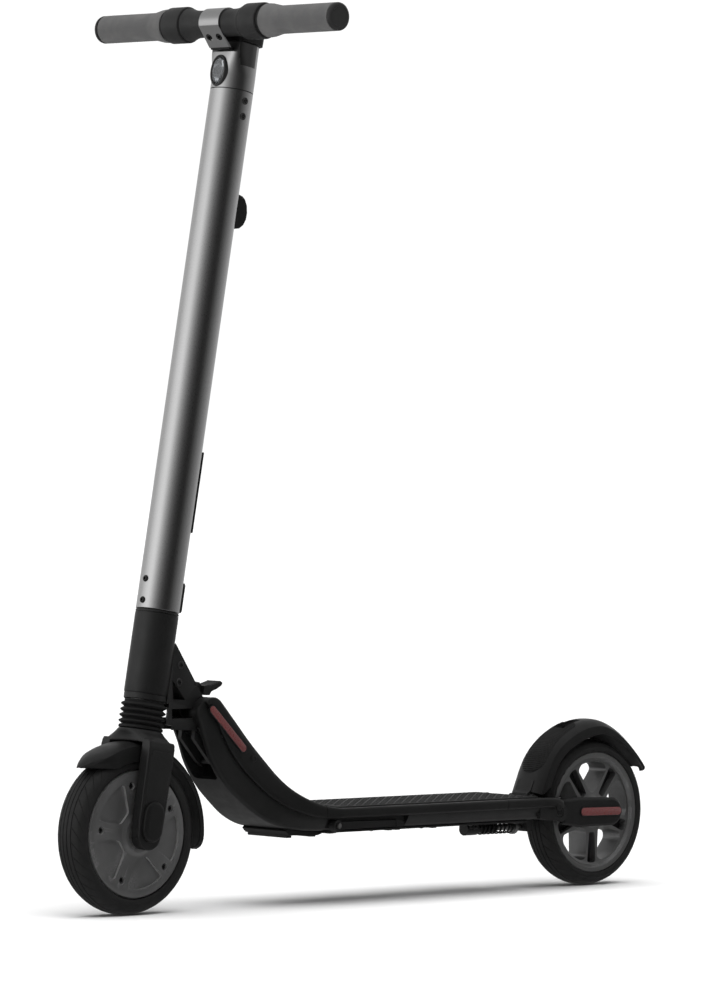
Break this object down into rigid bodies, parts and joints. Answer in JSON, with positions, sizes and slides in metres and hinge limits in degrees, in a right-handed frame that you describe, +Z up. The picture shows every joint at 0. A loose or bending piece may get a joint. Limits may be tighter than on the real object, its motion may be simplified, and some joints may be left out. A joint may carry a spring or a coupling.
{
  "type": "electric kick scooter",
  "caption": "Folding electric kick scooter: battery stem, hub motor front wheel, low deck, sprung rear arm and a fender foot brake.",
  "frame": {"origin": "on the floor under the middle of the bounding box", "axes": "+X forward, +Y to the rider's left, +Z up; both wheel axles are parallel to Y"},
  "size_m": [1.02, 0.43, 1.1242],
  "materials": {
    "black_metal": "satin black powder coat over aluminium",
    "silver_metal": "fine brushed, anodised",
    "grey_metal": "satin grey paint over aluminium",
    "black_plastic": "fine moulded texture",
    "tyre": "matte solid tyre",
    "black_rubber": "matte, ribbed",
    "grip_rubber": "matte grey, knurled",
    "steel": "zinc plated",
    "reflector": "moulded red reflector",
    "lens": "clear lens",
    "dark_window": "smoked gloss window",
    "inner_unit": "moulded case"
  },
  "bodies": {
    "deck": {"neck_and_deck_frame": "black_metal", "deck_bottom_cover": "black_plastic", "control_unit": "inner_unit", "deck_mat": "black_rubber", "side_trim_left": "black_plastic", "side_trim_right": "black_plastic", "neck_reflector_left": "reflector", "neck_reflector_right": "reflector", "kickstand_pivot_pin": "steel", "fold_pivot_pin": "steel", "rear_arm_pivot_pin": "steel", "rear_shock_body": "steel", "rear_shock_spring": "steel"},
    "kickstand": {"kickstand": "black_plastic"},
    "shock_rod": {"rear_shock_rod": "steel"},
    "rear_arm": {"rear_arm": "black_metal", "rear_arm_cover_left": "black_plastic", "rear_arm_cover_right": "black_plastic", "tail_reflector_left": "reflector", "tail_reflector_right": "reflector", "rear_axle": "steel", "fender_hinge_pin": "steel"},
    "fender_brake": {"rear_fender": "black_plastic", "foot_brake_pad": "black_rubber"},
    "rear_wheel": {"rear_wheel": "grey_metal", "rear_tyre": "tyre"},
    "fold_base": {"head_tube": "black_metal", "fold_bracket": "black_metal"},
    "fold_pedal": {"fold_pedal": "black_metal"},
    "steering": {"steerer_tube": "steel", "stem_tube": "silver_metal", "battery_pack": "inner_unit", "battery_connector_cover": "black_plastic", "charge_port": "black_plastic", "stem_hook": "black_plastic", "stem_head": "silver_metal", "headlight_lens": "lens", "display_housing": "black_plastic", "display_window": "dark_window", "handlebar": "black_plastic", "bar_clamp": "silver_metal", "control_collar_left": "black_plastic", "control_collar_right": "black_plastic", "grip_left": "grip_rubber", "grip_right": "grip_rubber", "bar_end_cap_left": "black_plastic", "bar_end_cap_right": "black_plastic", "fork_bellows": "black_rubber", "fork_spring": "steel"},
    "charge_flap": {"charge_port_flap": "black_plastic"},
    "power_button": {"power_button": "black_plastic"},
    "brake_lever": {"brake_lever": "black_plastic"},
    "throttle_lever": {"throttle_lever": "black_plastic"},
    "fork": {"fork": "black_metal", "axle_cover_left": "black_plastic", "axle_cover_right": "black_plastic", "front_axle": "steel", "front_fender": "black_plastic"},
    "front_wheel": {"front_hub_motor": "grey_metal", "front_tyre": "tyre"}
  },
  "joints": [
    {"name": "kickstand_swing", "type": "hinge", "parent": "deck", "child": "kickstand", "pos_m": [0.11, 0.06, 0.1015], "axis": [-0.1392, 0.9903, 0], "range_deg": [-98, 0]},
    {"name": "rear_arm_swing", "type": "hinge", "parent": "deck", "child": "rear_arm", "pos_m": [-0.3, 0, 0.103], "axis": [0, 1, 0], "range_deg": [-2, 3], "stiffness_Nm_per_rad": 160, "springref_deg": -2.01},
    {"name": "shock_rod_slide", "type": "slide", "parent": "deck", "child": "shock_rod", "axis": [1, 0, 0], "range_m": [-0.0013, 0.0009]},
    {"name": "foot_brake_press", "type": "hinge", "parent": "rear_arm", "child": "fender_brake", "pos_m": [-0.2915, 0, 0.119], "axis": [0, -1, 0], "range_deg": [0, 2.5], "stiffness_Nm_per_rad": 12, "springref_deg": -2.29},
    {"name": "rear_wheel_spin", "type": "hinge", "parent": "rear_arm", "child": "rear_wheel", "pos_m": [-0.409, 0, 0.097], "axis": [0, 1, 0], "continuous": true},
    {"name": "stem_fold", "type": "hinge", "parent": "deck", "child": "fold_base", "pos_m": [0.276, 0, 0.22], "axis": [0, -1, 0], "range_deg": [0, 86]},
    {"name": "fold_pedal_press", "type": "hinge", "parent": "fold_base", "child": "fold_pedal", "pos_m": [0.312, 0, 0.282], "axis": [0, -1, 0], "range_deg": [0, 10], "stiffness_Nm_per_rad": 3, "springref_deg": -5.73},
    {"name": "steering_turn", "type": "hinge", "parent": "fold_base", "child": "steering", "pos_m": [0.41, 0, 0.1], "axis": [-0.173, 0, 0.9849], "range_deg": [-60, 60]},
    {"name": "fork_slide", "type": "slide", "parent": "steering", "child": "fork", "axis": [-0.173, 0, 0.9849], "range_m": [0, 0.01], "stiffness_N_per_m": 7000, "springref_m": -0.014, "deforming": ["fork_bellows", "fork_spring"]},
    {"name": "front_wheel_spin", "type": "hinge", "parent": "fork", "child": "front_wheel", "pos_m": [0.41, 0, 0.1], "axis": [0, 1, 0], "continuous": true},
    {"name": "power_button_press", "type": "slide", "parent": "steering", "child": "power_button", "axis": [0.3733, 0, -0.9277], "range_m": [0, 0.001], "stiffness_N_per_m": 600, "springref_m": -0.0008},
    {"name": "throttle_press", "type": "hinge", "parent": "steering", "child": "throttle_lever", "pos_m": [0.27129, 0, 1.1015], "axis": [0, -1, 0], "range_deg": [0, 22], "stiffness_Nm_per_rad": 0.3, "springref_deg": -14.32},
    {"name": "brake_press", "type": "hinge", "parent": "steering", "child": "brake_lever", "pos_m": [0.27129, 0, 1.1015], "axis": [0, -1, 0], "range_deg": [0, 22], "stiffness_Nm_per_rad": 0.3, "springref_deg": -14.32},
    {"name": "charge_flap_open", "type": "hinge", "parent": "steering", "child": "charge_flap", "pos_m": [0.33137, 0, 0.37092], "axis": [0, -1, 0], "range_deg": [0, 95]}
  ],
  "couplings": [
    {"joint": "shock_rod_slide", "follows": "rear_arm_swing", "m_per_rad": -0.021}
  ]
}
